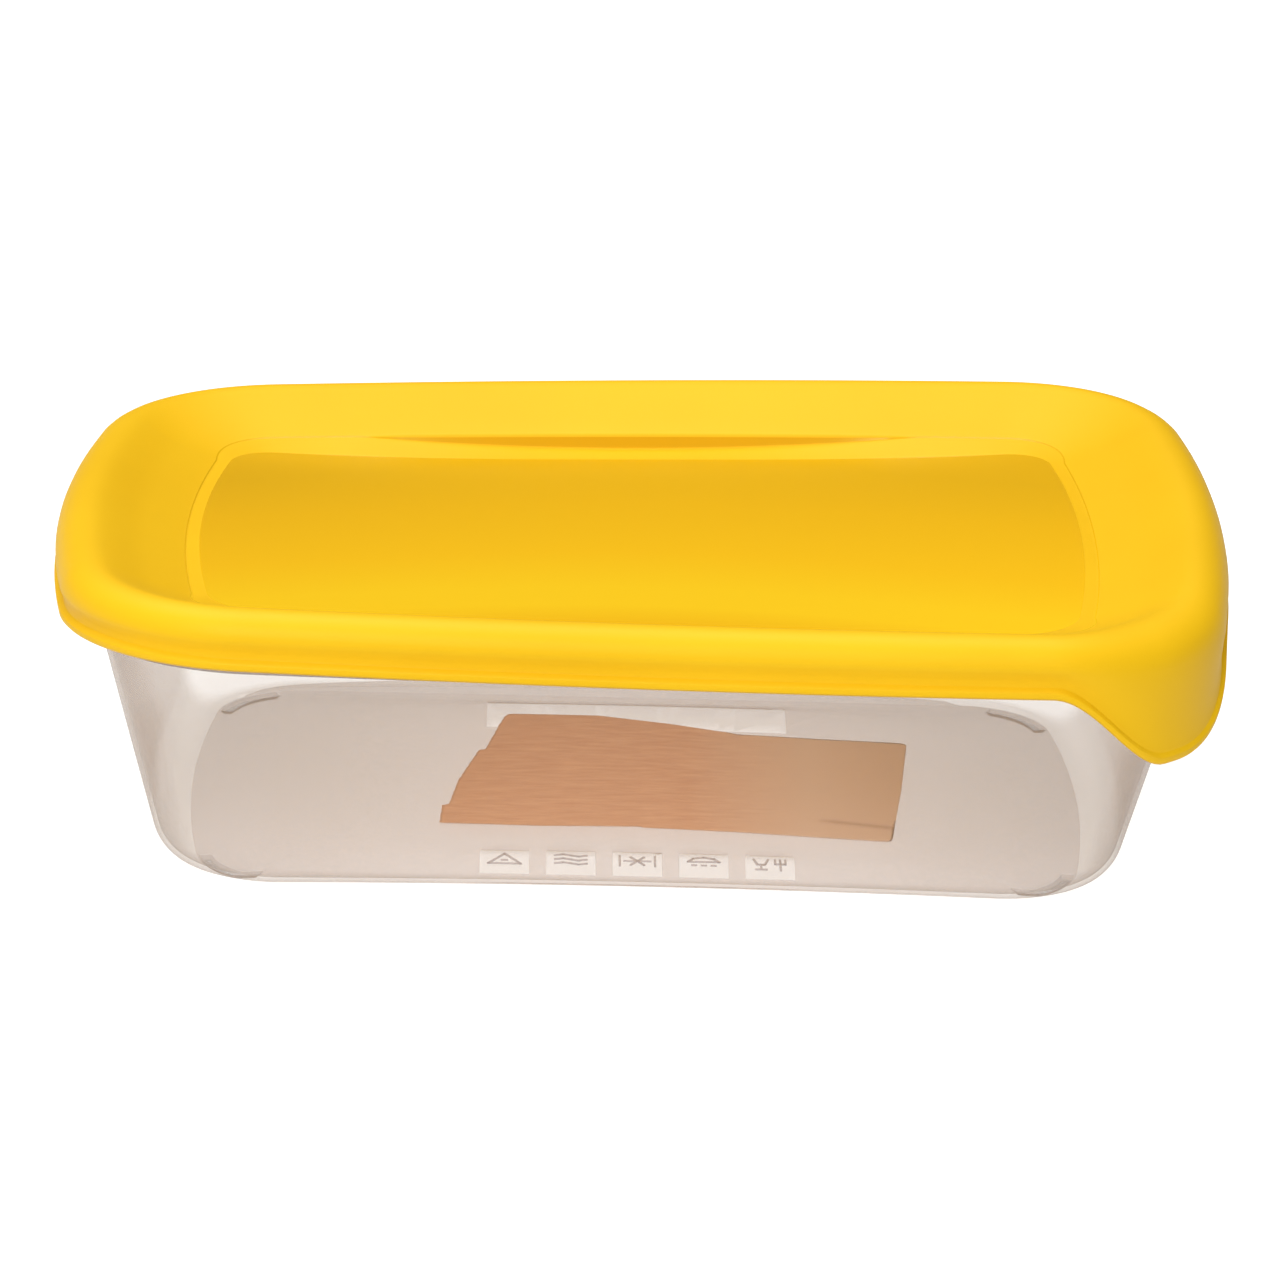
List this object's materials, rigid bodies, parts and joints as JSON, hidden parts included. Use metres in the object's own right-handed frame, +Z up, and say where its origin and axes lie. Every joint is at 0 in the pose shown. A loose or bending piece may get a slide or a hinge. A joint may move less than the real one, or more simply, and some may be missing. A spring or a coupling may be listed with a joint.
{
  "type": "food storage container",
  "caption": "Shallow clear plastic food tub with a bright yellow push-on lid, its pull tab at a corner, and a paper label under the floor",
  "frame": {"origin": "on the ground, under the middle of the lid", "axes": "X runs along the tub, Y across it from front to back, Z up; the pull tab is at the corner of +X and -Y"},
  "size_m": [0.2306, 0.173, 0.0649],
  "materials": {
    "clear_plastic": "clear, part frosted floor",
    "yellow_plastic": "fine satin texture, polished panel",
    "label_paper": "uncoated paper"
  },
  "bodies": {
    "root": {"tub": "clear_plastic", "lid": "yellow_plastic", "label": "label_paper"}
  },
  "joints": []
}
